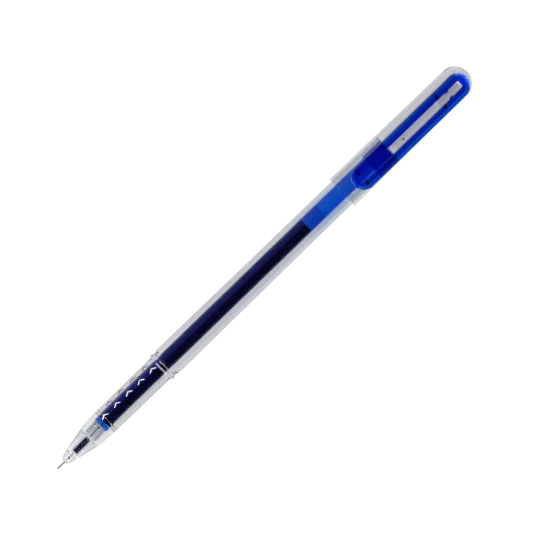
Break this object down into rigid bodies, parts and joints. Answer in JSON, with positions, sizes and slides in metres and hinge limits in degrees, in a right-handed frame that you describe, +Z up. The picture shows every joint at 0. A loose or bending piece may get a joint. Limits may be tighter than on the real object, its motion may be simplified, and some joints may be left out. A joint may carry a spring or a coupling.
{
  "type": "gel pen",
  "caption": "Clear gel stick pen with a needle point, a blue refill, and a clear round-ended cap with a blue ring clip pushed onto the back.",
  "frame": {"origin": "under the middle of the pen's whole length, on the surface that the pen lies on", "axes": "+X along the pen from the writing ball to the cap's closed end, +Z up through the clip, +Y across the pen"},
  "size_m": [0.1772, 0.0112, 0.0139],
  "materials": {
    "clear_plastic": "clear moulded polystyrene, polished",
    "blue_plastic": "translucent blue moulding, polished",
    "tinted_plastic": "translucent blue extruded tube",
    "natural_plastic": "milky undyed moulding",
    "gel_ink": "wet, nearly black blue",
    "follower_grease": "clear grease",
    "steel": "drawn tube",
    "ball_metal": "ground ball"
  },
  "bodies": {
    "barrel": {"barrel": "clear_plastic", "end_plug": "blue_plastic"},
    "nose": {"nose_cone": "clear_plastic", "tip_holder": "natural_plastic", "needle_tube": "steel", "refill_tube": "tinted_plastic", "ink": "gel_ink", "ink_follower": "follower_grease"},
    "ball": {"writing_ball": "ball_metal"},
    "cap": {"cap_shell": "clear_plastic"},
    "clip": {"clip": "blue_plastic"}
  },
  "joints": [
    {"name": "cap_slide", "type": "slide", "parent": "barrel", "child": "cap", "axis": [1, 0, 0], "range_m": [0, 0.035]},
    {"name": "nose_pull", "type": "slide", "parent": "barrel", "child": "nose", "axis": [-1, 0, 0], "range_m": [0, 0.012]},
    {"name": "clip_flex", "type": "hinge", "parent": "cap", "child": "clip", "pos_m": [0.08675, 0, 0.01101], "axis": [0, 1, 0], "range_deg": [0, 3.5], "stiffness_Nm_per_rad": 0.5},
    {"name": "ball_roll", "type": "hinge", "parent": "nose", "child": "ball", "pos_m": [-0.0883, -0.00015, 0.00561], "axis": [0, 1, 0], "continuous": true}
  ]
}
